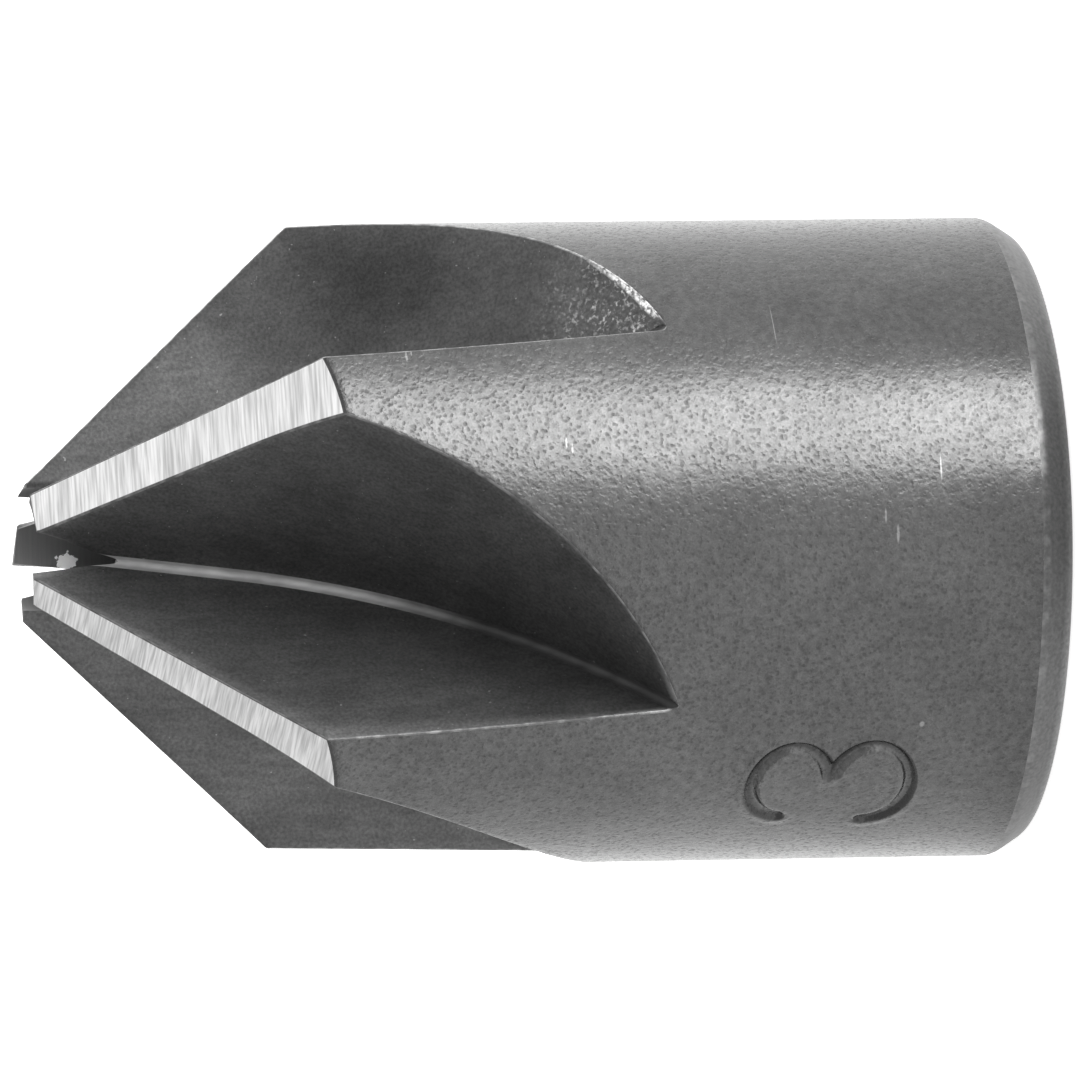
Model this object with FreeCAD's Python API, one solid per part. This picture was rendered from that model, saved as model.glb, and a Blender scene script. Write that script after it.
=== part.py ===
import FreeCAD, Part
import math
import os

V = FreeCAD.Vector
Y_AXIS, Z_AXIS = V(0, 1, 0), V(0, 0, 1)

# Push-on countersink for a drill: one solid steel body on the drill's shank, held by a grub screw.
# Millimetres. The body stands on its flat back face: z = 0 at the back, the cutting tip up.
# Angles are degrees about the upright axis, from +X towards +Y.

# turned body
BODY_DIAMETER = 16.0
BODY_LENGTH = 25.0
BACK_CHAMFER_LENGTH = 0.7
BACK_CHAMFER_DEPTH = 0.45
DRILL_DIAMETER = 3.0
DRILL_CLEARANCE = 0.05
BORE_CHAMFER = 0.3

# lands: one flat facet a tooth, ground so that it falls away behind the cutting edge
TEETH = 5
LAND_AZIMUTH = -145.0
LAND_SLOPE = 43.0
LAND_RADIUS_AT_TIP = 1.56

# flutes: the hollow left by a disc with a vee rim, fed in a straight line down the cone
FLUTE_AZIMUTH = -125.6
FLUTE_RADIUS = 20.0
RAKE_SIDE_ANGLE = 8.0
FLANK_SIDE_ANGLE = 77.0
ROOT_FILLET = 0.12
FEED_SLOPE = 13.0
FLUTE_FLOOR_RADIUS = 1.5
FLUTE_CENTRE_BELOW_TIP = 0.45
FLUTE_OFFSET = 0.61

# clamping screw, a set screw with a hexagon socket and a flat point
SCREW_AZIMUTH = 39.5
SCREW_HEIGHT = 4.5
SCREW_DIAMETER = 4.0
SCREW_LENGTH = 5.0
SCREW_SINK = 0.8
SCREW_CLEARANCE = 0.05
SCREW_HOLE_CHAMFER = 0.4
SCREW_POINT_DIAMETER = 2.5
SCREW_TOP_CHAMFER = 0.3
SOCKET_ACROSS_FLATS = 2.0
SOCKET_DEPTH = 2.0
SOCKET_CHAMFER = 0.12
PILOT_DIAMETER = 1.9
PILOT_POINT_ANGLE = 118.0

BODY_RADIUS = BODY_DIAMETER / 2
BORE_RADIUS = (DRILL_DIAMETER + DRILL_CLEARANCE) / 2


def turned(points):
    """Solid of revolution about the upright axis from (radius, height) points."""
    wire = Part.makePolygon([V(r, 0, z) for r, z in points + points[:1]])
    return Part.Face(wire).revolve(V(0, 0, 0), Z_AXIS, 360)


def around_axis(shape, azimuth):
    """Copies of a shape turned to every tooth."""
    copies = []
    for tooth in range(TEETH):
        copy = shape.copy()
        copy.rotate(V(0, 0, 0), Z_AXIS, azimuth + tooth * 360.0 / TEETH)
        copies.append(copy)
    return copies


def blank():
    """Bored bar with a chamfered back edge."""
    return turned([
        (BORE_RADIUS + BORE_CHAMFER, 0),
        (BODY_RADIUS - BACK_CHAMFER_DEPTH, 0),
        (BODY_RADIUS, BACK_CHAMFER_LENGTH),
        (BODY_RADIUS, BODY_LENGTH),
        (BORE_RADIUS, BODY_LENGTH),
        (BORE_RADIUS, BORE_CHAMFER),
    ])


def land_waste():
    """Block of waste above one land's facet, the facet facing +X."""
    size = 2 * BODY_DIAMETER
    block = Part.makeBox(size, size, size, V(0, -size / 2, -size / 2))
    block.rotate(V(0, 0, 0), Y_AXIS, -LAND_SLOPE)
    block.translate(V(LAND_RADIUS_AT_TIP, 0, BODY_LENGTH))
    return block


def vee_profile(inward):
    """Half section of the vee disc from its axis to its rounded rim, the rim pointing inward."""
    rake, flank = math.radians(RAKE_SIDE_ANGLE), math.radians(FLANK_SIDE_ANGLE)
    half = (rake + flank) / 2
    reach = 1.3 * BODY_RADIUS
    rim = inward * FLUTE_RADIUS
    rake_side = inward * -math.cos(rake) - Y_AXIS * math.sin(rake)
    flank_side = inward * -math.cos(flank) + Y_AXIS * math.sin(flank)
    bisector = (rake_side + flank_side).normalize()
    run = ROOT_FILLET / math.tan(half)
    nose = rim + bisector * (ROOT_FILLET / math.sin(half) - ROOT_FILLET)
    start, end = rim + rake_side * run, rim + flank_side * run
    rake_end, flank_end = rim + rake_side * reach, rim + flank_side * reach
    edges = [
        Part.makeLine(V(0, rake_end.y, 0), rake_end),
        Part.makeLine(rake_end, start),
        Part.Arc(start, nose, end).toShape(),
        Part.makeLine(end, flank_end),
        Part.makeLine(flank_end, V(0, flank_end.y, 0)),
        Part.makeLine(V(0, flank_end.y, 0), V(0, rake_end.y, 0)),
    ]
    return Part.Face(Part.Wire(edges))


def flute_waste():
    """Space swept by the vee disc for one flute, the flute facing +X."""
    slope = math.radians(FEED_SLOPE)
    feed = V(-math.sin(slope), 0, math.cos(slope))
    profile = vee_profile(V(-math.cos(slope), 0, -math.sin(slope)))
    disc = profile.revolve(V(0, 0, 0), Y_AXIS, 360)
    track = profile.extrude(feed * BODY_LENGTH)
    centre = V(FLUTE_RADIUS + FLUTE_FLOOR_RADIUS, FLUTE_OFFSET, BODY_LENGTH - FLUTE_CENTRE_BELOW_TIP)
    for solid in (disc, track):
        solid.translate(centre)
    return disc, track


def to_screw_seat(shape):
    """Lays an upright shape along the screw's radial axis, its +Z pointing outward."""
    shape.rotate(V(0, 0, 0), Y_AXIS, 90)
    shape.translate(V(0, 0, SCREW_HEIGHT))
    shape.rotate(V(0, 0, 0), Z_AXIS, SCREW_AZIMUTH)
    return shape


def screw_hole():
    """Cross hole from the outside into the near side of the bore, with a chamfered mouth."""
    radius, depth_radius = SCREW_DIAMETER / 2 + SCREW_CLEARANCE, BORE_RADIUS * 0.8
    mouth_radius = BODY_RADIUS - SCREW_HOLE_CHAMFER
    mouth_height = 2 * SCREW_HOLE_CHAMFER
    hole = Part.makeCylinder(radius, BODY_DIAMETER, V(0, 0, depth_radius))
    mouth = Part.makeCone(radius, radius + mouth_height, mouth_height, V(0, 0, mouth_radius))
    return to_screw_seat(hole.fuse(mouth))


def cutter_body():
    waste = around_axis(land_waste(), LAND_AZIMUTH)
    for solid in flute_waste():
        waste += around_axis(solid, FLUTE_AZIMUTH)
    waste.append(screw_hole())
    return blank().cut(waste)


def hexagon_socket():
    """Hexagon over the point of its pilot drill, with a bevelled mouth at z = 0."""
    corner = SOCKET_ACROSS_FLATS / math.sqrt(3)
    ring = [V(corner * math.cos(math.radians(60 * i)), corner * math.sin(math.radians(60 * i)), 0)
            for i in range(7)]
    pilot_radius = PILOT_DIAMETER / 2
    point = pilot_radius / math.tan(math.radians(PILOT_POINT_ANGLE / 2))
    bevel = corner + SOCKET_CHAMFER
    hexagon = Part.Face(Part.makePolygon(ring)).extrude(Z_AXIS * -SOCKET_DEPTH)
    pilot = Part.makeCone(pilot_radius, 0, point, V(0, 0, -SOCKET_DEPTH), -Z_AXIS)
    mouth = Part.makeCone(bevel, 0, bevel, V(0, 0, 0), -Z_AXIS)
    return hexagon.fuse(pilot), mouth


def grub_screw():
    radius, point = SCREW_DIAMETER / 2, SCREW_POINT_DIAMETER / 2
    shank = turned([
        (0, 0),
        (point, 0),
        (radius, radius - point),
        (radius, SCREW_LENGTH - SCREW_TOP_CHAMFER),
        (radius - SCREW_TOP_CHAMFER, SCREW_LENGTH),
        (0, SCREW_LENGTH),
    ])
    shank.translate(V(0, 0, -SCREW_LENGTH))
    screw = shank.cut(hexagon_socket())
    screw.translate(V(0, 0, BODY_RADIUS - SCREW_SINK))
    return to_screw_seat(screw)


def save(name, shape):
    solid = shape.Solids[0]
    solid.exportStep("parts/" + name + ".step")
    print(name, "solids", len(shape.Solids), "valid", solid.isValid(), "volume", round(solid.Volume, 1))


os.makedirs("parts", exist_ok=True)
save("cutter_body", cutter_body())
save("grub_screw", grub_screw())
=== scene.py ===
import math

import bmesh
import bpy
import numpy as np
from mathutils import Matrix, Vector


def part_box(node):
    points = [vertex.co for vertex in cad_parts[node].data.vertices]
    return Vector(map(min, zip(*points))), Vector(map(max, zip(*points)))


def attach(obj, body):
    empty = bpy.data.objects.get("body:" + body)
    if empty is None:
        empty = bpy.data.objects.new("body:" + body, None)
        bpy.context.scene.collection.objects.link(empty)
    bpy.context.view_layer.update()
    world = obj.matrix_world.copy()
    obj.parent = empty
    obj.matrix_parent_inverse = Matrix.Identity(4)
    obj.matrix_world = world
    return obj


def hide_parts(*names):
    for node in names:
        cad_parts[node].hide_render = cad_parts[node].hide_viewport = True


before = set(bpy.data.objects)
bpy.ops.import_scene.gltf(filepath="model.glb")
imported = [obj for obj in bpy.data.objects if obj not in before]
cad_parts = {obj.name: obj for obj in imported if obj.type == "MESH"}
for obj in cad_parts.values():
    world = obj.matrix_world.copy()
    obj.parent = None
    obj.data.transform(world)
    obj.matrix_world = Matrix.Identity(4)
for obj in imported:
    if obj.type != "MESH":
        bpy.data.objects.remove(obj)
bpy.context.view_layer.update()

# Sizes are in millimetres, as in the part's own source, and meshes are scaled to metres when they are made.
# Azimuths are degrees about the upright axis, from +X towards +Y.
MM = 0.001

# turned body, its two main sizes taken from the frame
BODY_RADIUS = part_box("cutter_body")[1].x / MM
BODY_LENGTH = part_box("cutter_body")[1].z / MM
BACK_CHAMFER_LENGTH = 0.7
BACK_CHAMFER_DEPTH = 0.45
BORE_RADIUS = 1.525
BORE_CHAMFER = 0.3

# lands: one flat facet a tooth
TEETH = 5
PITCH = 2 * math.pi / TEETH
LAND_SLOPE = math.radians(43.0)
LAND_RADIUS_AT_TIP = 1.56

# flutes: the hollow of a vee disc, its rake side towards lower azimuths, where the land of its tooth lies
FLUTE_AZIMUTH = math.radians(-125.6)
LAND_LAG = math.radians(-19.4)
FLUTE_RADIUS = 20.0
RAKE_SIDE = math.radians(8.0)
FLANK_SIDE = math.radians(77.0)
ROOT_FILLET = 0.12
ROOT_MARGIN = 0.08
FEED_SLOPE = math.radians(13.0)
FLUTE_FLOOR_RADIUS = 1.5
FLUTE_CENTRE_BELOW_TIP = 0.45
FLUTE_CENTRE_X = FLUTE_RADIUS + FLUTE_FLOOR_RADIUS
FLUTE_CENTRE_Z = BODY_LENGTH - FLUTE_CENTRE_BELOW_TIP
FLUTE_OFFSET = 0.61
FLUTE_REACH = 12.0

# wear: rounded edges, and cutting points that lean and are lower at their flank corners
EDGE_ROUND = 0.045
EDGE_ROUND_LIMIT = 0.3
EDGE_FADE = 3 * EDGE_ROUND
BACK_ROUND = 0.16
ROUND_SHARE = 0.586
TIP_BLUNT = 0.10
TIP_LEAN = 0.09
TIP_LEAN_FROM = 15.0
TIP_ZONE = 0.5

# grub screw and its threaded cross hole
SCREW_AZIMUTH = math.radians(39.5)
SCREW_HEIGHT = 4.5
SCREW_RADIUS = 2.0
SCREW_LENGTH = 5.0
SCREW_SINK = 0.8
SCREW_POINT_RADIUS = 1.25
SCREW_TOP_CHAMFER = 0.3
SCREW_HOLE_CHAMFER = 0.4
SCREW_HOLE_START = 0.8 * BORE_RADIUS
CUTTER_OVERSHOOT = 1.0
THREAD_PITCH = 0.7
THREAD_DEPTH = 0.38
THREAD_CLEARANCE = 0.05
THREAD_ROOT_SHARE, THREAD_FLANK_SHARE = 0.2, 0.65
SOCKET_ACROSS_FLATS = 2.0
SOCKET_RADIUS = SOCKET_ACROSS_FLATS / math.sqrt(3)
SOCKET_DEPTH = 2.0
SOCKET_CHAMFER = 0.12
SOCKET_OVERSHOOT = 0.2
PILOT_RADIUS = 0.95
PILOT_POINT = 0.57

# stamped figure 3, the drill size: two arcs of ellipses round the body, whose stroke swells a little along
# its line; the painted shade and painted highlight in the stroke are given across its width, and are
# strongest on one side
FIGURE_AZIMUTH = math.radians(-140.0)
FIGURE_NOTCH = 5.80
FIGURE_ROOM = (2.0, 2.8)
FIGURE_MARGIN = 0.3
FIGURE_WIDTH = 0.27
FIGURE_SWELL, FIGURE_SWELL_STEPS, FIGURE_SWELL_FROM = 0.16, 23.0, 1.0
FIGURE_WALL = 0.12
FIGURE_LOBES = (
    {"centre": (0.08, 6.75), "half": (1.31, 0.96), "start": 171.0, "end": -73.0},
    {"centre": (0.0, 4.75), "half": (1.42, 1.02), "start": 71.0, "end": -178.0},
)
FIGURE_DEPTH = 0.10
FIGURE_LIP = 0.02
PAINTED_GROOVE_LIGHT = "painted_groove_light"
PAINTED_GROOVE_LIGHT_ACROSS = (-0.85, -0.62, -0.42, -0.22, 0.0, 0.35, 0.62, 0.9)
PAINTED_GROOVE_LIGHT_AMOUNTS = (0.0, -1.0, -0.7, 0.2, 0.8, 1.0, 0.8, 0.0)
PAINTED_GROOVE_LIGHT_SIDE = math.radians(55.0)

# rough burr where the milling of one flute ran out of the cylinder, painted as bright glints that fade over
# its reach, and from one edge of the flute to the other a painted highlight along its rim; at the next
# flute's run-out only a painted highlight along the corner's rim
BURR_PLACE = (5.41, -5.89, 9.79)
BURR_REACH = 4.0
BURR_CORE_SHARE = 0.2
BURR_SIDE = (0.03, 0.25)
BURR_HIGHLIGHT_RIM = (0.20, 0.06)
RUN_OUT_CORNER_HIGHLIGHT = ((-3.93, -6.97, 9.9), (1.3, 1.3, 1.6))
RUN_OUT_CORNER_HIGHLIGHT_RIM = (0.18, 0.05)

# light scratches and knocks: place, then half lengths along x, y and z
SCRATCH_TONE = 0.12
SCRATCHES = (
    ((1.71, -7.81, 3.38), (0.34, 0.30, 0.025)),
    ((2.43, -7.62, 12.72), (0.16, 0.25, 0.022)),
    ((2.28, -7.67, 12.58), (0.14, 0.25, 0.022)),
    ((4.62, -6.53, 16.48), (0.17, 0.25, 0.03)),
    ((4.70, -6.45, 16.35), (0.10, 0.25, 0.02)),
    ((0.55, -7.97, 4.82), (0.20, 0.20, 0.03)),
    ((0.10, -8.00, 4.52), (0.24, 0.20, 0.04)),
    ((-4.60, -6.54, 3.67), (0.09, 0.10, 0.07)),
    ((5.41, -5.89, 0.28), (0.06, 0.10, 0.05)),
    ((5.30, -5.99, 7.17), (0.60, 0.80, 0.012)),
)

# painted highlight in the bore, painted shade on the chamfer, a darker patch in a flute, and the heights over
# which the painted highlight along a flute's root fades
BORE_PAINTED_HIGHLIGHT = ((-0.30, 1.5, 23.72), (0.26, 0.3, 0.32))
BACK_PAINTED_SHADE = ((1.4, -7.9, 0.35), (5.2, 5.0, 2.0))
FLUTE_DARK_PATCH = ((6.4, -0.8, 16.6), (2.4, 3.0, 4.0))
ROOT_HIGHLIGHT_FADE = (14.3, 17.2)

# back chamfer: height up to which it is lighter, a painted highlight along its back rim, and the band of its
# worn edge with the cylinder
BACK_CORNER = 0.25
CHAMFER_EDGE = (-0.06, 0.02)

# cutting points worn narrower at their inner corners: azimuths from the land against the share of the turn,
# and how deep the wear goes from the bore on the flank side and on the rake side
WORN_TURN = math.radians(5.5)
WORN_FROM = 1.5
WORN_MARGIN = 0.01
WORN_DEPTHS = (0.13, 0.3)
WORN_AZIMUTHS = np.radians([-17.0, -5.0, 15.0, 22.0, 42.0, 55.0])
WORN_SHARES = (1, 1, 0, 0, -1, -1)
CHIPPED_TOOTH = 2
CHIP_DROP = 0.19
CHIP_ACROSS = 0.25
CHIP_TURN = math.radians(22.0)

# camera: the photograph's long lens, rolled so that the upright axis lies across the picture
CAMERA_PLACE = (0.062, -410.87, 91.36)
CAMERA_TARGET = (0.062, 0.0, 11.94)
CAMERA_ROLL = math.radians(-0.771)
CAMERA_LENS = 559.0
SENSOR_WIDTH = 36.0

# studio: a card on the floor that covers a band of mirror directions, as degrees round the cylinder
# from the camera's side, between two distances in millimetres; lamps as azimuth and elevation in degrees,
# then distance, width and height in metres, and watts
FLOOR_SIZE = 6.0
FLOOR_GLOW = 0.7
WORLD_STRENGTH = 0.74
CARD_BAND = (12.5, 29.5)
CARD_FROM = 1.5
CARD_LENGTH = 400.0
CARD_RISE = 0.02
CARD_GLOW = 6.8
LAMPS = {
    "top_lamp": (130.0, 20.0, 0.6, 0.75, 0.5, 4.4),
    "zenith_lamp": (65.0, 67.0, 0.6, 0.45, 0.45, 0.15),
}

# fineness of the meshes
SHARP_ANGLE = math.radians(38.0)
BISECTIONS = 45
EDGE_PASSES = 8
SHORTEST = 1e-9
WELD = 0.0002
SKIN_DEPTH = 2 * WELD + 0.01
TOOTH_COLUMNS = 30
RAKE_COLUMNS = 9
FLANK_COLUMNS = 14
FILLET_STEPS = 3
ROUND_STEPS = 5
SHOULDER_AZIMUTH = math.radians(10.0)
SHOULDER_ZONE = 3.0
ROW_COUNTS = (28, 24, 18, 12)
ROW_GAPS = (1.2, 0.25, 0.2, 1.1)
OPENING_STEPS = np.array([0.0, 0.03, 0.08, 0.16, 0.28, 0.45, 0.65, 0.9])
FIGURE_STEPS = 160
FIGURE_CUTS = 7
THREAD_STEPS = 12
THREAD_SIDES = 48

# surface zones of the body, in the order of its materials
TURNED, FLUTE, LAND, EDGE, BORE, BACK, ROOT = range(7)


def section(q):
    """Flute's vee at arc length q from its floor, rake side below zero: (across, deep)."""
    half = (RAKE_SIDE + FLANK_SIDE) / 2
    lean_of_vee = (FLANK_SIDE - RAKE_SIDE) / 2
    centre = ROOT_FILLET / math.sin(half)
    lean = np.where(q < 0, RAKE_SIDE, FLANK_SIDE)
    turn = np.pi / 2 - lean
    angle = np.minimum(np.abs(q) / ROOT_FILLET, turn)
    beyond = np.maximum(np.abs(q) - ROOT_FILLET * turn, 0)
    across = np.sign(q) * (ROOT_FILLET * np.sin(angle) + beyond * np.sin(lean))
    deep = beyond * np.cos(lean) - ROOT_FILLET * np.cos(angle)
    return across + centre * math.sin(lean_of_vee), deep + centre * math.cos(lean_of_vee)


def flute_point(q, z):
    """(radius, azimuth) on the wall of the flute that faces azimuth 0, at height z."""
    across, deep = section(q)
    reach = FLUTE_RADIUS - deep
    drop = z - FLUTE_CENTRE_Z
    track = FLUTE_CENTRE_X - (reach + drop * math.sin(FEED_SLOPE)) / math.cos(FEED_SLOPE)
    along = drop * math.cos(FEED_SLOPE) - (track - FLUTE_CENTRE_X) * math.sin(FEED_SLOPE)
    disc = FLUTE_CENTRE_X - np.sqrt(np.maximum(reach ** 2 - drop ** 2, 0))
    lean = np.clip((z - TIP_LEAN_FROM) / (BODY_LENGTH - TIP_LEAN_FROM), 0, 1) ** 2
    x = np.where(along > 0, track, disc)
    y = FLUTE_OFFSET + across - TIP_LEAN * lean
    return np.hypot(x, y), np.arctan2(y, x)


def outer_radius(azimuth, z):
    """Outer surface of a tooth at an azimuth from its land's own: land facet or cylinder."""
    facet = LAND_RADIUS_AT_TIP + (BODY_LENGTH - z) * math.tan(LAND_SLOPE)
    return np.minimum(BODY_RADIUS, facet / np.cos(azimuth))


def bore_radius(azimuth, z):
    """The bore as a limit for a flute's wall, called as outer_radius is."""
    return BORE_RADIUS + 0 * z


def shoulder_height(azimuth):
    """Height at which a land's facet runs into the cylinder."""
    return BODY_LENGTH - (BODY_RADIUS * np.cos(azimuth) - LAND_RADIUS_AT_TIP) / math.tan(LAND_SLOPE)


def height_where(radius):
    """Height at which the floor of a flute lies at a radius."""
    low, high = 0.0, BODY_LENGTH
    for _ in range(BISECTIONS):
        middle = (low + high) / 2
        if flute_point(0.0, middle)[0] > radius:
            low = middle
        else:
            high = middle
    return low


def crossing(z, side, limit, land=0.0):
    """Arc length at which one side of a flute's section comes out of a surface, row by row.
    It is zero where the flute's floor is already outside that surface."""
    floor_radius, floor_azimuth = flute_point(0 * z, z)
    cuts = floor_radius < limit(floor_azimuth - land, z)
    near, far = np.zeros_like(z), np.full_like(z, side * FLUTE_REACH)
    for _ in range(BISECTIONS):
        middle = (near + far) / 2
        radius, azimuth = flute_point(middle, z)
        inside = radius < limit(azimuth - land, z)
        near, far = np.where(inside, middle, near), np.where(inside, far, middle)
    return near * cuts


def row_height(level, azimuth, share):
    """True height of a row: it bends along the shoulder of the lands and over the blunt cutting points.
    The share runs from -1 at a tooth's flank edge to +1 at its rake edge."""
    lift = np.clip(1 - np.abs(level - SHOULDER) / SHOULDER_ZONE, 0, 1)
    top = np.clip((level - BODY_LENGTH) / TIP_ZONE + 1, 0, 1)
    return level + lift * (shoulder_height(azimuth) - SHOULDER) - TIP_BLUNT * top ** 2 * (1 - share) / 2


def flute_edge(level, side):
    """Outer edge of a flute's wall: arc length, height and azimuth from the tooth's land, row by row."""
    land = LAND_LAG if side < 0 else LAND_LAG + PITCH
    height = level.copy()
    for _ in range(EDGE_PASSES):
        reached = np.maximum(height, RUN_OUT)
        q = crossing(reached, side, outer_radius, land)
        azimuth = flute_point(q, reached)[1] - land
        height = row_height(level, azimuth, -side)
    return q, height, azimuth


def wall_lengths(edge, inner, fillet, count):
    """Distances from a flute's floor along one wall, edge first: edge band, wall, fillet."""
    start = edge - np.minimum(EDGE_ROUND, EDGE_ROUND_LIMIT * edge)
    foot = np.minimum(fillet, start)
    wall = [start + (foot - start) * j / count for j in range(count + 1)]
    wall[-2] = foot + np.minimum(ROOT_MARGIN, (start - foot) / 2)
    bend = [foot * (1 - j / FILLET_STEPS) for j in range(1, FILLET_STEPS + 1)]
    return np.maximum(np.stack([edge] + wall + bend, 1), inner[:, None])


def wall_points(level, side, count):
    """One wall of the flute as (rows, columns, 3) points, from its outer edge to the floor."""
    lean = RAKE_SIDE if side < 0 else FLANK_SIDE
    q, height, _ = flute_edge(level, side)
    low_corner = row_height(level, SHOULDER_AZIMUTH, -side)
    inner = np.abs(crossing(np.maximum(low_corner, OPEN_HEIGHT), side, bore_radius))
    lengths = wall_lengths(np.abs(q), inner, ROOT_FILLET * (math.pi / 2 - lean), count)
    floor = low_corner[:, None]
    share = lengths / np.maximum(np.abs(q), SHORTEST)[:, None]
    z = np.where(share > 1, height[:, None], floor + (height[:, None] - floor) * share)
    radius, azimuth = flute_point(side * lengths, np.maximum(z, RUN_OUT))
    return polar(np.minimum(radius, BODY_RADIUS), azimuth, z)


def polar(radius, azimuth, z):
    """Points from cylindrical coordinates."""
    return np.stack([radius * np.cos(azimuth), radius * np.sin(azimuth), z + 0 * radius], -1)


def turned(points, angle):
    """Points turned about the upright axis."""
    c, s = math.cos(angle), math.sin(angle)
    return points @ np.array([[c, s, 0], [-s, c, 0], [0, 0, 1]])


def tooth_points(level):
    """Outer surface of one tooth in its flute's frame, from its flank edge to its rake edge."""
    _, _, first = flute_edge(level, +1)
    _, _, last = flute_edge(level, -1)
    band = EDGE_ROUND / outer_radius(first, level)
    start, end = first + band, last - band
    inside = [start + (end - start) * j / TOOTH_COLUMNS for j in range(TOOTH_COLUMNS + 1)]
    azimuth = np.stack([first] + inside + [last], 1)
    share = 2 * (azimuth - first[:, None]) / (last - first)[:, None] - 1
    z = row_height(level[:, None], azimuth, share)
    return polar(outer_radius(azimuth, z), azimuth + LAND_LAG, z)


def bore_points(level):
    """Bore behind one tooth in its flute's frame, with a column for each of the tooth's."""
    ends = []
    for side in (+1, -1):
        reached = np.maximum(row_height(level, SHOULDER_AZIMUTH, -side), OPEN_HEIGHT)
        ends.append(flute_point(crossing(reached, side, bore_radius), reached)[1])
    first, last = ends[0] - PITCH, ends[1]
    share = np.linspace(-1, 1, TOOTH_COLUMNS + 3)
    azimuth = first[:, None] + (last - first)[:, None] * (share + 1) / 2
    z = row_height(level[:, None], SHOULDER_AZIMUTH, share)
    return polar(BORE_RADIUS + 0 * azimuth, azimuth, z)


SHOULDER = float(shoulder_height(SHOULDER_AZIMUTH))
RUN_OUT = height_where(BODY_RADIUS)
OPEN_HEIGHT = height_where(BORE_RADIUS)
BACK_TOP = BACK_CHAMFER_LENGTH + BACK_ROUND


def row_levels():
    """Heights of the rows before they are bent: close together where a flute runs out or opens."""
    shoulder = SHOULDER + EDGE_ROUND * np.array([-1, 0, 1])
    to_run_out, to_shoulder, to_opening, to_tip = ROW_COUNTS
    past_run_out, at_shoulder, before_opening, past_opening = ROW_GAPS
    return np.concatenate([
        np.linspace(BACK_TOP, RUN_OUT, to_run_out)[:-1],
        RUN_OUT + OPENING_STEPS,
        np.linspace(RUN_OUT + past_run_out, SHOULDER - at_shoulder, to_shoulder),
        shoulder,
        np.linspace(SHOULDER + at_shoulder, OPEN_HEIGHT - before_opening, to_opening),
        OPEN_HEIGHT + OPENING_STEPS,
        np.linspace(OPEN_HEIGHT + past_opening, BODY_LENGTH, to_tip),
    ])


class Shell:
    """Vertices, faces and a surface zone for each face, gathered grid by grid."""

    def __init__(self):
        self.points, self.faces, self.zones = [], [], []
        self.count = 0

    def add_points(self, grid):
        index = self.count + np.arange(grid.shape[0] * grid.shape[1]).reshape(grid.shape[:2])
        self.points.append(grid.reshape(-1, 3))
        self.count += index.size
        return index

    def add_face(self, corners, zone):
        self.faces.append([int(c) for c in corners])
        self.zones.append(zone)

    def add_cells(self, index, zone_of):
        """Quads between neighbouring rows and columns; zone_of gives None where the surface is open."""
        rows, columns = index.shape
        for i in range(rows - 1):
            for j in range(columns):
                zone = zone_of(i, j)
                if zone is not None:
                    after = (j + 1) % columns
                    self.add_face((index[i, j], index[i, after], index[i + 1, after], index[i + 1, j]), zone)

    def object(self, name, materials):
        mesh = bpy.data.meshes.new(name)
        mesh.from_pydata(np.concatenate(self.points).tolist(), [], self.faces)
        for material in materials:
            mesh.materials.append(material)
        mesh.polygons.foreach_set("material_index", self.zones)
        tidy = bmesh.new()
        tidy.from_mesh(mesh)
        bmesh.ops.remove_doubles(tidy, verts=tidy.verts, dist=WELD)
        bmesh.ops.recalc_face_normals(tidy, faces=tidy.faces)
        tidy.to_mesh(mesh)
        tidy.free()
        obj = bpy.data.objects.new(name, mesh)
        bpy.context.scene.collection.objects.link(obj)
        return obj


def all_round(sector):
    """A sector's grid repeated for every tooth."""
    return np.concatenate([turned(sector, FLUTE_AZIMUTH + k * PITCH) for k in range(TEETH)], 1)


def worn(points):
    """Turns the inner corners of the cutting points in towards their middle, and chips one outer corner."""
    radius, azimuth = np.hypot(points[..., 0], points[..., 1]), np.arctan2(points[..., 1], points[..., 0])
    from_first = (azimuth - FLUTE_AZIMUTH - LAND_LAG - WORN_AZIMUTHS[0]) % (2 * math.pi)
    from_land = from_first % PITCH + WORN_AZIMUTHS[0]
    share = np.interp(from_land, WORN_AZIMUTHS, WORN_SHARES)
    depth = np.where(share > 0, *WORN_DEPTHS)
    inner = np.clip((BORE_RADIUS + WORN_MARGIN + depth - radius) / depth, 0, 1)
    top = np.clip((points[..., 2] - BODY_LENGTH) / WORN_FROM + 1, 0, 1)
    across = np.clip((radius - BORE_RADIUS) / CHIP_ACROSS, 0, 1) * np.clip(from_land / CHIP_TURN, 0, 1)
    chip = CHIP_DROP * across * top * (from_first // PITCH == CHIPPED_TOOTH)
    return polar(radius, azimuth + WORN_TURN * share * inner * top, points[..., 2] - chip)


def soften(points, columns, amount):
    """Rounds the edges that run along some columns of a closed grid."""
    before, after = points[:, columns - 1], points[:, (columns + 1) % points.shape[1]]
    middle = (before + after) / 2
    points[:, columns] += ROUND_SHARE * amount[:, None, None] * (middle - points[:, columns])


def rounded(corners):
    """Outline through corners given as (radius, height, rounding)."""
    outline = [corners[0][:2]]
    for before, corner, after in zip(corners, corners[1:], corners[2:]):
        here, size = np.array(corner[:2]), corner[2]
        back, on = (np.array(p[:2]) - here for p in (before, after))
        start, end = here + size * back / np.hypot(*back), here + size * on / np.hypot(*on)
        for t in np.linspace(0, 1, ROUND_STEPS):
            outline.append(tuple((1 - t) ** 2 * start + 2 * t * (1 - t) * here + t ** 2 * end))
    outline.append(corners[-1][:2])
    return outline


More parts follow.
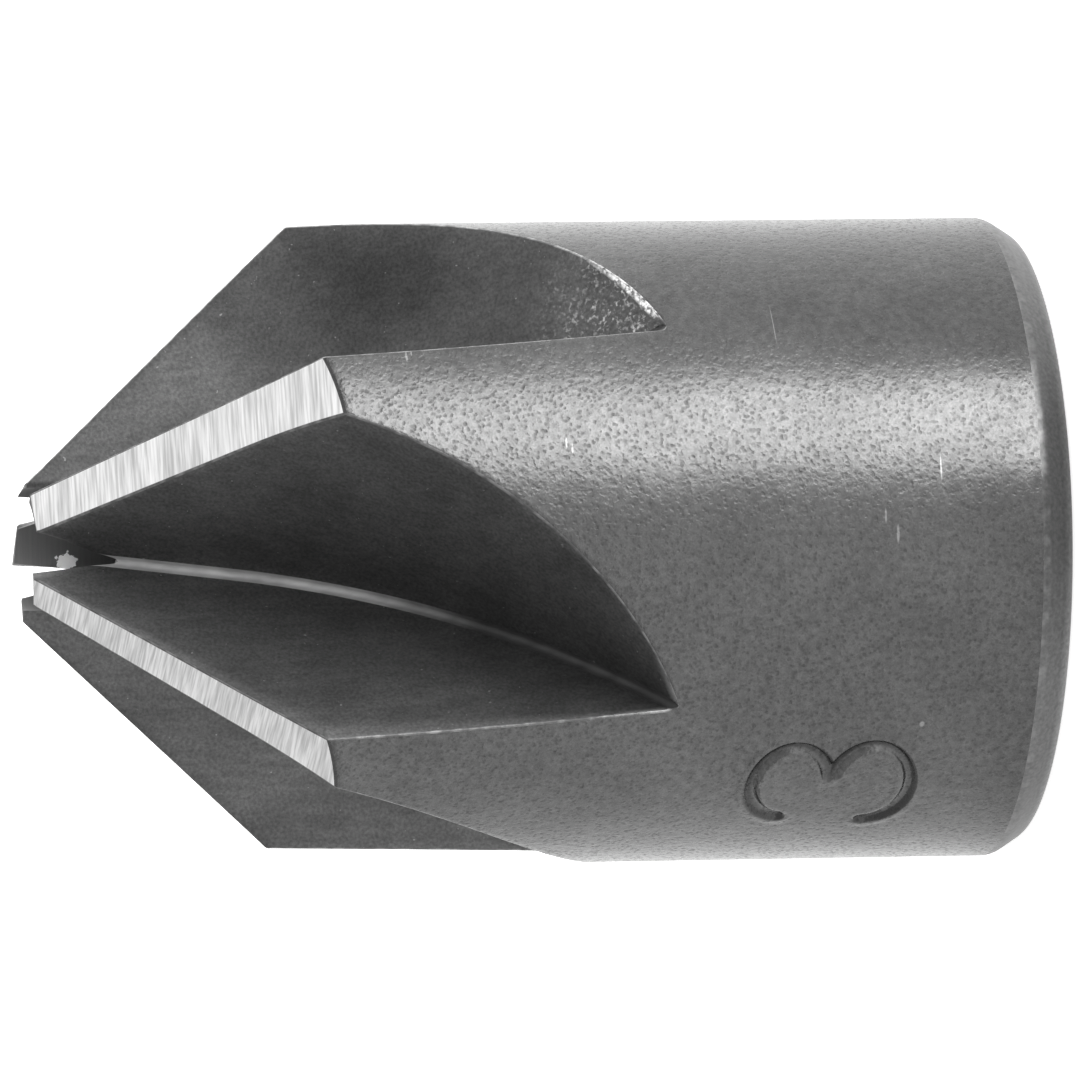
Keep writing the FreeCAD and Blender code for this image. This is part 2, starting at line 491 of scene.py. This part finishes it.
def body_shell():
    """The cutter body without its cross hole and figure."""
    shell, level = Shell(), row_levels()
    tooth = tooth_points(level)
    rake = wall_points(level, -1, RAKE_COLUMNS)[:, 1:]
    flank = wall_points(level, +1, FLANK_COLUMNS)[:, :0:-1]
    outside = all_round(np.concatenate([tooth, rake, flank], 1))
    width, gap = tooth.shape[1], tooth.shape[1] + rake.shape[1] - 1
    columns = width + rake.shape[1] + flank.shape[1]
    starts = columns * np.arange(TEETH)
    for side, offset in ((+1, 0), (-1, width - 1)):
        reach = np.abs(flute_edge(level, side)[0])
        soften(outside, starts + offset, np.clip(reach / EDGE_FADE, 0, 1))
    row = int(np.argmin(np.abs(level - SHOULDER)))
    on_teeth = (starts[:, None] + np.arange(width)).ravel()
    middle = (outside[row - 1, on_teeth] + outside[row + 1, on_teeth]) / 2
    outside[row, on_teeth] += ROUND_SHARE * (middle - outside[row, on_teeth])

    def zone(i, j):
        """Zone of the cell above row i and after column j; a flute's two walls meet or end at the bore."""
        place = j % columns
        if place == gap:
            return None
        if place in (0, width - 2, width - 1, columns - 1):
            return EDGE if level[i] >= RUN_OUT else TURNED
        if place >= width:
            # the faces of a flute's rounded floor carry the painted highlight along the root
            return ROOT if width + RAKE_COLUMNS <= place + 1 <= gap + FILLET_STEPS + 2 else FLUTE
        return LAND if i > row else TURNED

    skin = shell.add_points(worn(outside))
    shell.add_cells(skin, zone)
    inside = worn(all_round(bore_points(level)))
    bore = shell.add_points(inside)
    shell.add_cells(bore, lambda i, j: None if j % width == width - 1 else BORE)
    for k in range(TEETH):
        cap_tooth(shell, skin[-1], bore[-1], k, width, gap, columns)
    back = shell.add_points(back_points(outside[0][on_teeth], inside[0]))
    shell.add_cells(back, lambda i, j: None if j % width == width - 1 else BACK)
    return shell


def cap_tooth(shell, skin, bore, k, width, gap, columns):
    """End of one cutting point, between its land and the bore."""
    outer, inner = skin[k * columns:][:width], bore[k * width:][:width]
    for i in range(1, width - 2):
        shell.add_face((outer[i], outer[i + 1], inner[i + 1], inner[i]), EDGE)
    rake = skin[k * columns + width:k * columns + gap]
    shell.add_face([outer[-2], outer[-1], *rake, inner[-1], inner[-2]], EDGE)
    previous = (k - 1) % TEETH * columns
    flank = skin[previous + gap + 2:previous + columns]
    shell.add_face([outer[0], outer[1], inner[1], inner[0], *flank], EDGE)


def back_points(outer, inner):
    """Rows from the cylinder over the back chamfer and the back face into the bore."""
    outline = rounded([
        (BODY_RADIUS, BACK_TOP, 0),
        (BODY_RADIUS, BACK_CHAMFER_LENGTH, BACK_ROUND),
        (BODY_RADIUS - BACK_CHAMFER_DEPTH, 0, BACK_ROUND),
        (BORE_RADIUS + BORE_CHAMFER, 0, EDGE_ROUND),
        (BORE_RADIUS, BORE_CHAMFER, EDGE_ROUND),
        (BORE_RADIUS, BACK_TOP, 0),
    ])
    first, last = (np.unwrap(np.arctan2(ring[:, 1], ring[:, 0])) for ring in (outer, inner))
    last = last + 2 * math.pi * np.round((first[0] - last[0]) / (2 * math.pi))
    rows = []
    for radius, z in outline:
        share = (BODY_RADIUS - radius) / (BODY_RADIUS - BORE_RADIUS)
        rows.append(polar(radius + 0 * first, first + (last - first) * share, z))
    return np.stack(rows)


def figure_line():
    """Centre line of the figure as (round the body, up) points from the middle of its azimuth."""
    line = []
    for lobe in FIGURE_LOBES:
        angle = np.radians(np.linspace(lobe["start"], lobe["end"], FIGURE_STEPS))
        out = np.stack([np.cos(angle), np.sin(angle)], 1)
        line.append(np.hstack([np.array(lobe["centre"]) + out * lobe["half"], out]))
    return np.concatenate(line)


def figure_groove(around, up):
    """Depth of the stamped groove at points of the surface, its raised lip below zero,
    and the painted light in it: painted shade, 1 in its outer half, and a painted highlight, -1 along the
    inner wall."""
    line = figure_line()
    gaps = np.hypot(around[:, None] - line[:, 0], up[:, None] - line[:, 1])
    nearest, gap = gaps.argmin(1), gaps.min(1)
    x, y, out_x, out_y = line[nearest].T
    outward = (around - x) * out_x + (up - y) * out_y
    width = FIGURE_WIDTH * (1 + FIGURE_SWELL * np.sin(nearest / FIGURE_SWELL_STEPS + FIGURE_SWELL_FROM))
    inward = np.clip((width / 2 + FIGURE_WALL / 2 - gap) / FIGURE_WALL, 0, 1)
    floor = inward * inward * (3 - 2 * inward)
    lip = np.exp(-((gap - width / 2 - FIGURE_WALL) / FIGURE_WALL) ** 2)
    # the painted shade and painted highlight are strongest on one side of the stroke
    side = np.clip(out_x * math.cos(PAINTED_GROOVE_LIGHT_SIDE) + out_y * math.sin(PAINTED_GROOVE_LIGHT_SIDE), 0, 1)
    painted_groove_light = np.interp(outward / width, PAINTED_GROOVE_LIGHT_ACROSS, PAINTED_GROOVE_LIGHT_AMOUNTS) * (gap < width) * (0.5 + 0.5 * side)
    return FIGURE_DEPTH * floor - FIGURE_LIP * lip * (1 - floor), painted_groove_light


def stamp_figure(mesh):
    """Presses the figure into the cylinder, on a finer grid."""
    work = bmesh.new()
    work.from_mesh(mesh)
    # the layer carries the painted shade and painted highlight in the figure's groove
    layer = work.verts.layers.float.new(PAINTED_GROOVE_LIGHT)

    def in_window(point, margin):
        around = BODY_RADIUS * (math.atan2(point.y, point.x) - FIGURE_AZIMUTH)
        up = point.z - FIGURE_NOTCH
        on_skin = math.hypot(point.x, point.y) > BODY_RADIUS - SKIN_DEPTH
        return on_skin and abs(around) < FIGURE_ROOM[0] + margin and abs(up) < FIGURE_ROOM[1] + margin

    faces = [f for f in work.faces if in_window(f.calc_center_median(), 0)]
    edges = list({e for f in faces for e in f.edges})
    bmesh.ops.subdivide_edges(work, edges=edges, cuts=FIGURE_CUTS, use_grid_fill=True)
    moved = [v for v in work.verts if in_window(v.co, FIGURE_MARGIN)]
    place = np.array([v.co for v in moved])
    azimuth = np.arctan2(place[:, 1], place[:, 0])
    depth, painted_groove_light = figure_groove(BODY_RADIUS * (azimuth - FIGURE_AZIMUTH), place[:, 2])
    for vert, point, amount in zip(moved, polar(BODY_RADIUS - depth, azimuth, place[:, 2]), painted_groove_light):
        vert.co = point
        vert[layer] = amount
    work.to_mesh(mesh)
    work.free()


def helix(low, high, crest, radius_of, end_radius):
    """Closed threaded rod along +Z, its pitch counted from z = 0; radius_of shapes its thread by height."""
    shell = Shell()
    first, last = math.floor(low / THREAD_PITCH) - 1, math.ceil(high / THREAD_PITCH) + 1
    turns = np.arange(first, last, 1 / THREAD_STEPS)
    angle = np.linspace(0, 2 * math.pi, THREAD_SIDES + 1)
    z = THREAD_PITCH * (turns[:, None] + angle / (2 * math.pi))
    rise = np.abs(2 * (turns % 1) - 1)
    flank = np.clip((rise - THREAD_ROOT_SHARE) / THREAD_FLANK_SHARE, 0, 1)
    radius = radius_of(crest - THREAD_DEPTH * (1 - flank[:, None]), z)
    clipped = np.clip(z, low, high)
    radius = np.where(clipped == z, radius, end_radius(clipped))
    index = shell.add_points(polar(radius, angle + 0 * z, clipped))
    shell.add_cells(index, lambda i, j: BORE if j < THREAD_SIDES else None)
    shell.add_face(index[0, :-1][::-1], BORE)
    shell.add_face(index[-1, :-1], BORE)
    return shell


def to_screw_seat(obj):
    """Lays an upright mesh along the screw's radial axis, its +Z pointing outward."""
    turn = Matrix.Rotation(SCREW_AZIMUTH, 4, "Z") @ Matrix.Translation((0, 0, SCREW_HEIGHT))
    obj.data.transform(turn @ Matrix.Rotation(math.pi / 2, 4, "Y"))


def hole_cutter(materials):
    """Threaded cross hole with a chamfered mouth, from inside the bore to beyond the body."""
    mouth = BODY_RADIUS - SCREW_HOLE_CHAMFER
    crest = SCREW_RADIUS + THREAD_CLEARANCE

    def widened(radius, z):
        return np.maximum(radius, crest + z - mouth)

    shell = helix(SCREW_HOLE_START, BODY_RADIUS + CUTTER_OVERSHOOT, crest, widened,
                  lambda z: widened(crest - THREAD_DEPTH, z))
    cutter = shell.object("hole_cutter", materials)
    to_screw_seat(cutter)
    return cutter


def prism(name, sides, rings, materials):
    """Closed solid through rings given as (radius, height)."""
    shell = Shell()
    angle = np.arange(sides) * 2 * math.pi / sides
    index = shell.add_points(np.stack([polar(r + 0 * angle, angle, z) for r, z in rings]))
    shell.add_cells(index, lambda i, j: BORE)
    shell.add_face(index[0][::-1], BORE)
    shell.add_face(index[-1], BORE)
    return shell.object(name, materials)


def cut(obj, *cutters):
    """Cuts solids out of a mesh."""
    for cutter in cutters:
        modifier = obj.modifiers.new("cut", "BOOLEAN")
        modifier.operation, modifier.solver, modifier.object = "DIFFERENCE", "EXACT", cutter
        cutter.hide_render = True
    bpy.context.view_layer.update()
    whole = obj.evaluated_get(bpy.context.evaluated_depsgraph_get())
    obj.data = bpy.data.meshes.new_from_object(whole)
    obj.modifiers.clear()
    for cutter in cutters:
        bpy.data.objects.remove(cutter)


def finish_piece(obj, body, node):
    """Smooth faces with crisp edges, real size, and its place in the frame."""
    obj.data.transform(Matrix.Scale(MM, 4))
    obj.data.shade_smooth()
    obj.data.set_sharp_from_angle(angle=SHARP_ANGLE)
    weighted = obj.modifiers.new("even_shading", "WEIGHTED_NORMAL")
    weighted.keep_sharp = True
    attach(obj, body)
    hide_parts(node)


def make_cutter_body():
    materials = [turned_steel(), flute_steel(), land_steel(), edge_steel(), bore_steel(), back_steel(),
                 painted_root_highlight()]
    obj = body_shell().object("cutter_body_detailed", materials)
    cut(obj, hole_cutter(materials))
    stamp_figure(obj.data)
    finish_piece(obj, "cutter_body", "cutter_body")


def make_grub_screw():
    """Set screw with a real thread, a flat point and a hexagon socket."""
    outer_end = BODY_RADIUS - SCREW_SINK
    inner_end = outer_end - SCREW_LENGTH
    materials = [black_steel()]

    def envelope(z):
        point = SCREW_POINT_RADIUS + z - inner_end
        return np.minimum(point, SCREW_RADIUS - SCREW_TOP_CHAMFER + outer_end - z)

    shell = helix(inner_end, outer_end, SCREW_RADIUS - THREAD_CLEARANCE / 2,
                  lambda radius, z: np.minimum(radius, envelope(z)), envelope)
    shell.zones = [0] * len(shell.zones)
    obj = shell.object("grub_screw_threaded", materials)
    floor, over = outer_end - SOCKET_DEPTH, SOCKET_OVERSHOOT
    top, bevel = outer_end + over, SOCKET_RADIUS + SOCKET_CHAMFER
    cutters = [
        prism("socket", 6, [(SOCKET_RADIUS, floor), (SOCKET_RADIUS, top)], materials),
        prism("pilot", THREAD_SIDES,
              [(WELD, floor - PILOT_POINT), (PILOT_RADIUS, floor), (PILOT_RADIUS, floor + over)], materials),
        prism("mouth", THREAD_SIDES, [(WELD, outer_end - bevel), (bevel + over, top)], materials),
    ]
    for cutter in cutters:
        cutter.data.polygons.foreach_set("material_index", [0] * len(cutter.data.polygons))
    cut(obj, *cutters)
    to_screw_seat(obj)
    finish_piece(obj, "grub_screw", "grub_screw")


class Nodes:
    """Short way to write a material's nodes."""

    def __init__(self, name):
        self.material = bpy.data.materials.new(name)
        self.material.use_nodes = True
        self.tree = self.material.node_tree
        self.shader = self.tree.nodes["Principled BSDF"]
        self.place = self.add("ShaderNodeTexCoord").outputs["Object"]

    def add(self, kind, inputs=(), **settings):
        node = self.tree.nodes.new(kind)
        for key, value in settings.items():
            setattr(node, key, value)
        for key, value in dict(inputs).items():
            if isinstance(value, bpy.types.NodeSocket):
                self.tree.links.new(value, node.inputs[key])
            else:
                node.inputs[key].default_value = value
        return node

    def set(self, **values):
        for key, value in values.items():
            socket = self.shader.inputs[key.replace("_", " ")]
            if isinstance(value, bpy.types.NodeSocket):
                self.tree.links.new(value, socket)
            else:
                socket.default_value = value

    def noise(self, size, detail=2.0, stretch=(1, 1, 1), place=None, seed=0.0):
        """Noise with features of one size in millimetres; stretch lengthens them along an axis."""
        where = self.add("ShaderNodeMapping", {"Vector": place or self.place, "Location": (seed, seed, seed),
                                               "Scale": [1 / (size * MM * s) for s in stretch]}).outputs[0]
        node = self.add("ShaderNodeTexNoise", {"Vector": where, "Scale": 1.0, "Detail": detail})
        return node.outputs["Fac"]

    def ramp(self, value, low, high, start=0.0, end=1.0):
        """Value mapped from low..high to start..end, held at both ends."""
        return self.add("ShaderNodeMapRange", {"Value": value, "From Min": low, "From Max": high,
                                               "To Min": start, "To Max": end}).outputs[0]

    def times(self, a, b):
        return self.add("ShaderNodeMath", {0: a, 1: b}, operation="MULTIPLY").outputs[0]

    def plus(self, a, b):
        return self.add("ShaderNodeMath", {0: a, 1: b}, operation="ADD").outputs[0]

    def vector(self, operation, *values, output=0):
        return self.add("ShaderNodeVectorMath", enumerate(values), operation=operation).outputs[output]

    def above_burr(self):
        """1 on the side of the burr's flank edge, 0 along the other edge."""
        across = self.add("ShaderNodeSeparateXYZ", {0: self.place}).outputs[0]
        return self.ramp(across, *[(BURR_PLACE[0] + side) * MM for side in BURR_SIDE])

    def near_burr(self):
        """1 at the burr, 0 beyond its reach."""
        gap = self.vector("DISTANCE", self.place, Vector(BURR_PLACE) * MM, output="Value")
        return self.ramp(gap, BURR_CORE_SHARE * BURR_REACH * MM, BURR_REACH * MM, 1.0, 0.0)

    def mark(self, place, half, core=0.6, rim=1.1):
        """1 inside a small ellipsoid, 0 outside it."""
        away = self.vector("SUBTRACT", self.place, Vector(place) * MM)
        length = self.vector("LENGTH", self.vector("DIVIDE", away, Vector(half) * MM), output="Value")
        return self.ramp(length, core, rim, 1.0, 0.0)

    def dots(self, size, seed=0.0):
        """Distance from scattered points, in units of their spacing in millimetres."""
        where = self.add("ShaderNodeMapping", {"Vector": self.place, "Location": (seed, seed, seed),
                                               "Scale": [1 / (size * MM)] * 3}).outputs[0]
        return self.add("ShaderNodeTexVoronoi", {"Vector": where, "Scale": 1.0}).outputs["Distance"]

    def reach(self):
        """Distance from the upright axis."""
        return self.vector("LENGTH", self.vector("MULTIPLY", self.place, (1, 1, 0)), output="Value")

    def rim(self, widths, end=1.0):
        """Band along the cylinder's skin that rises between two depths below it."""
        return self.ramp(self.reach(), *[(BODY_RADIUS - width) * MM for width in widths], 0.0, end)

    def grey(self, value):
        return self.add("ShaderNodeCombineColor", {0: value, 1: value, 2: value}).outputs[0]

    def bump(self, height, depth, strength=1.0, under=None):
        """Bump of a height from 0 to 1 over a depth in millimetres."""
        inputs = {"Height": height, "Distance": depth * MM, "Strength": strength}
        if under is not None:
            inputs["Normal"] = under
        return self.add("ShaderNodeBump", inputs).outputs[0]


def turned_steel():
    """Cylinder: grey hardened steel with fine dark pits, light scratches, and painted shade and a painted
    highlight in the figure's groove.
    """
    n = Nodes("turned_steel")
    spread = n.ramp(n.noise(0.10, 3.0), 0.3, 0.7, -0.25, 0.25)
    pits = n.ramp(n.plus(n.dots(0.13), spread), 0.08, 0.47)
    grain = n.noise(0.05, 2.0, seed=3.0)
    blotch = n.noise(0.20, 3.0, seed=21.0)
    cloud = n.noise(2.6, 3.0, seed=9.0)
    painted_groove_light = n.add("ShaderNodeAttribute", attribute_name=PAINTED_GROOVE_LIGHT).outputs["Fac"]
    tone = n.times(n.ramp(pits, 0, 1, 0.86, 1.02), n.ramp(cloud, 0.3, 0.7, 0.079, 0.097))
    tone = n.times(tone, n.ramp(grain, 0.3, 0.7, 0.88, 1.12))
    tone = n.times(tone, n.ramp(blotch, 0.3, 0.7, 0.85, 1.17))
    # painted shade in the figure's groove, in blotches, and a painted highlight along its inner wall
    painted_groove_shade = n.times(painted_groove_light, n.ramp(blotch, 0.35, 0.6, 0.75, 1.0))
    tone = n.times(tone, n.ramp(painted_groove_shade, 0.0, 1.0, 1.0, 0.12))
    tone = n.times(tone, n.ramp(painted_groove_light, -1.0, 0.0, 1.5, 1.0))
    for place, half in SCRATCHES:
        tone = n.plus(tone, n.times(n.mark(place, half), SCRATCH_TONE))
    fine = n.bump(blotch, 0.012, 1.0, n.bump(grain, 0.001))
    n.set(Base_Color=n.grey(tone), Metallic=1.0, Roughness=n.ramp(pits, 0, 1, 0.42, 0.27),
          Normal=n.bump(pits, 0.004, 1.0, fine))
    return n.material


def flute_steel():
    """Flutes: dark and matt from the hardening, with painted glints on the torn burr and painted highlights
    along the rims of the run-outs.
    """
    n = Nodes("flute_steel")
    grain = n.noise(0.08, 3.0)
    streak = n.noise(0.25, 2.0, stretch=(1, 1, 6), seed=5.0)
    cloud = n.noise(2.2, 2.0, seed=6.0)
    tone = n.times(n.ramp(grain, 0.3, 0.7, 0.082, 0.135), n.ramp(streak, 0.3, 0.7, 0.90, 1.10))
    tone = n.times(tone, n.ramp(cloud, 0.35, 0.65, 0.85, 1.12))
    # darker patch in one flute
    tone = n.times(tone, n.ramp(n.mark(*FLUTE_DARK_PATCH, 0.1, 1.2), 0, 1, 1.0, 0.5))
    burr = n.near_burr()
    rare = n.ramp(n.noise(0.12, 1.0, seed=11.0), 0.76, 0.79, 0.0, 0.15)
    # painted glints on the burr's torn metal
    painted_burr_glints = n.ramp(n.noise(0.10, 3.0, seed=17.0), 0.52, 0.70)
    painted_burr_glints = n.times(painted_burr_glints, n.ramp(n.noise(0.35, 2.0, seed=2.0), 0.40, 0.64, 0.1, 1.0))
    painted_burr_glints = n.times(n.times(painted_burr_glints, n.ramp(burr, 0.0, 0.7)), 0.6)
    # painted highlight along the burr's rim on the side of its flank edge, and along the rim of the next
    # flute's run-out corner
    ragged = n.ramp(n.noise(0.10, 3.0), 0.38, 0.6, 0.1, 1.0)
    rim = n.times(n.ramp(n.times(burr, n.rim(BURR_HIGHLIGHT_RIM)), 0.3, 0.7), ragged)
    corner = n.times(n.mark(*RUN_OUT_CORNER_HIGHLIGHT, 0.3, 1.0), n.rim(RUN_OUT_CORNER_HIGHLIGHT_RIM, 0.2))
    rim = n.plus(n.times(rim, n.above_burr()), corner)
    tone = n.plus(n.plus(tone, rare), n.plus(painted_burr_glints, rim))
    n.set(Base_Color=n.grey(tone), Metallic=1.0, Roughness=0.5, Normal=n.bump(grain, 0.006))
    return n.material


def painted_root_highlight():
    """Rounded floor of a flute: lighter as a painted highlight, fading towards the flute's end in the
    cylinder.
    """
    n = Nodes("painted_root_highlight")
    height = n.add("ShaderNodeSeparateXYZ", {0: n.place}).outputs[2]
    broken = n.ramp(n.noise(0.3, 3.0, stretch=(1, 1, 3)), 0.3, 0.7, 0.75, 1.2)
    # painted highlight along the flute's root, fading over its heights
    tone = n.times(n.ramp(height, ROOT_HIGHLIGHT_FADE[0] * MM, ROOT_HIGHLIGHT_FADE[1] * MM, 0.05, 0.29), broken)
    n.set(Base_Color=n.grey(tone), Metallic=0.55, Roughness=0.6, Normal=n.bump(n.noise(0.08, 2.0), 0.003))
    return n.material


def land_steel():
    """Lands: freshly ground, with fine lines across their width."""
    n = Nodes("land_steel")
    lines = n.noise(0.048, 4.0, stretch=(28, 28, 1))
    broad = n.noise(0.4, 2.0, stretch=(6, 6, 1), seed=4.0)
    tone = n.times(n.ramp(lines, 0.35, 0.65, 0.60, 1.0), n.ramp(broad, 0.3, 0.7, 0.88, 1.06))
    n.set(Base_Color=n.grey(tone), Metallic=1.0, Roughness=0.34, Normal=n.bump(lines, 0.002))
    return n.material


def edge_steel():
    """Worn edges: a little brighter than the skin, partly from wear and partly as a painted highlight, with a
    brighter painted highlight along the burr.
    """
    n = Nodes("edge_steel")
    broken = n.ramp(n.noise(0.3, 3.0), 0.42, 0.62)
    at_burr = n.times(n.near_burr(), n.above_burr())
    # painted highlight along the burr's edge
    painted_highlight = n.times(at_burr, n.ramp(n.noise(0.12, 2.0), 0.4, 0.6))
    # worn edges lighter than the skin, partly as a painted highlight
    tone = n.plus(n.ramp(broken, 0, 1, 0.12, 0.24), n.times(painted_highlight, 0.8))
    n.set(Base_Color=n.grey(tone), Metallic=1.0, Roughness=0.42, Normal=n.bump(n.noise(0.08, 2.0), 0.004))
    return n.material


def bore_steel():
    """Bore and cross hole: dark, with faint tool marks round the axis, and a painted highlight on the bore's
    wall near the tip.
    """
    n = Nodes("bore_steel")
    marks = n.noise(0.06, 2.0, stretch=(30, 30, 1))
    # painted highlight on the bore's wall near the tip
    painted_highlight = n.plus(n.mark(*BORE_PAINTED_HIGHLIGHT, 0.2, 1.3), n.ramp(n.noise(0.18, 3.0), 0.3, 0.7, -0.35, 0.35))
    painted_highlight = n.ramp(painted_highlight, 0.45, 0.6, 0.0, 1.2)
    n.set(Base_Color=n.grey(n.plus(n.ramp(marks, 0.3, 0.7, 0.12, 0.14), painted_highlight)), Metallic=0.5,
          Roughness=0.5, Normal=n.bump(marks, 0.001))
    return n.material


def back_steel():
    """Back chamfer and face: turned rings under the same grey scale, with a painted highlight along the back
    rim and painted shade on the chamfer's side towards the camera.
    """
    n = Nodes("back_steel")
    split = n.add("ShaderNodeSeparateXYZ", {0: n.place})
    ring_place = n.add("ShaderNodeCombineXYZ", {0: n.reach(), 1: split.outputs[2]}).outputs[0]
    rings = n.noise(0.08, 2.0, place=ring_place)
    grain = n.noise(0.1, 3.0, seed=2.0)
    tone = n.times(n.ramp(rings, 0.3, 0.7, 0.96, 1.04), n.ramp(grain, 0.3, 0.7, 0.8, 1.18))
    # painted highlight along the back rim
    tone = n.times(tone, n.ramp(split.outputs[2], 0.0, BACK_CORNER * MM, 2.0, 1.0))
    # painted shade on the chamfer's side towards the camera
    tone = n.times(tone, n.ramp(n.mark(*BACK_PAINTED_SHADE, 0.3, 1.0), 0, 1, 0.15, 0.083))
    edge = n.ramp(split.outputs[2], *[(BACK_CHAMFER_LENGTH + step) * MM for step in CHAMFER_EDGE])
    worn_edge = n.times(edge, n.ramp(n.noise(0.35, 3.0, seed=8.0), 0.45, 0.65, 0.0, 0.045))
    tone = n.plus(tone, worn_edge)
    n.set(Base_Color=n.grey(tone), Metallic=1.0, Roughness=0.42, Normal=n.bump(rings, 0.0015))
    return n.material


def black_steel():
    """Grub screw: black oxide, rubbed in patches."""
    n = Nodes("black_steel")
    rubbed = n.ramp(n.noise(0.35, 3.0), 0.5, 0.75)
    n.set(Base_Color=n.grey(n.ramp(rubbed, 0, 1, 0.03, 0.055)), Metallic=1.0, Roughness=0.36,
          Normal=n.bump(n.noise(0.1, 2.0), 0.003))
    return n.material


def pale_floor():
    """Wide pale floor that the bit stands on."""
    n = Nodes("pale_floor")
    tone = n.ramp(n.noise(40.0, 2.0), 0.3, 0.7, 0.90, 0.92)
    n.set(Base_Color=n.grey(tone), Roughness=0.9)
    n.set(Emission_Color=(1, 1, 1, 1), Emission_Strength=FLOOR_GLOW)
    bpy.ops.mesh.primitive_plane_add(size=FLOOR_SIZE, location=(0, 0, 0))
    floor = bpy.context.object
    floor.name = "floor"
    floor.data.materials.append(n.material)


def soft_light(name, azimuth, elevation, distance, width, height, power):
    """Rectangular lamp that faces the bit; azimuth 0 stands at the camera's side, 90 towards +X."""
    a, e = math.radians(azimuth), math.radians(elevation)
    toward = Vector((math.sin(a) * math.cos(e), -math.cos(a) * math.cos(e), math.sin(e)))
    lamp = bpy.data.lights.new(name, "AREA")
    lamp.shape, lamp.size, lamp.size_y, lamp.energy = "RECTANGLE", width, height, power
    obj = bpy.data.objects.new(name, lamp)
    obj.location = Vector((0, 0, BODY_LENGTH * MM / 2)) + toward * distance
    obj.rotation_euler = toward.to_track_quat("Z", "Y").to_euler()
    bpy.context.scene.collection.objects.link(obj)


def lay_card():
    """Bright card on the floor whose reflection makes the light band along the cylinder."""
    n = Nodes("bright_card")
    n.set(Base_Color=(0.9, 0.9, 0.9, 1), Roughness=0.9)
    n.set(Emission_Color=(1, 1, 1, 1), Emission_Strength=CARD_GLOW)
    corners = []
    for degrees, far in ((CARD_BAND[0], CARD_FROM), (CARD_BAND[0], CARD_LENGTH),
                         (CARD_BAND[1], CARD_LENGTH), (CARD_BAND[1], CARD_FROM)):
        on_skin, mirrored = math.radians(degrees - 90), math.radians(2 * degrees - 90)
        x = BODY_RADIUS * math.cos(on_skin) + far * math.cos(mirrored)
        y = BODY_RADIUS * math.sin(on_skin) + far * math.sin(mirrored)
        corners.append((x * MM, y * MM, CARD_RISE * MM))
    mesh = bpy.data.meshes.new("card")
    mesh.from_pydata(corners, [], [(0, 1, 2, 3)])
    mesh.materials.append(n.material)
    card = bpy.data.objects.new("card", mesh)
    bpy.context.scene.collection.objects.link(card)


def light_studio():
    world = bpy.data.worlds.new("studio")
    world.use_nodes = True
    background = world.node_tree.nodes["Background"]
    background.inputs["Color"].default_value = (1, 1, 1, 1)
    background.inputs["Strength"].default_value = WORLD_STRENGTH
    bpy.context.scene.world = world
    for name, values in LAMPS.items():
        soft_light(name, *values)


def place_camera():
    data = bpy.data.cameras.new("camera")
    data.lens, data.sensor_width = CAMERA_LENS, SENSOR_WIDTH
    camera = bpy.data.objects.new("camera", data)
    place, target = Vector(CAMERA_PLACE) * MM, Vector(CAMERA_TARGET) * MM
    back = (place - target).normalized()
    up = Vector((1, 0, 0))
    right = up.cross(back)
    axes = Matrix((right, up, back)).transposed()
    camera.matrix_world = Matrix.Translation(place) @ (axes @ Matrix.Rotation(CAMERA_ROLL, 3, "Z")).to_4x4()
    bpy.context.scene.collection.objects.link(camera)
    bpy.context.scene.camera = camera


make_cutter_body()
make_grub_screw()
pale_floor()
lay_card()
light_studio()
place_camera()
bpy.context.scene.view_settings.view_transform = "Standard"
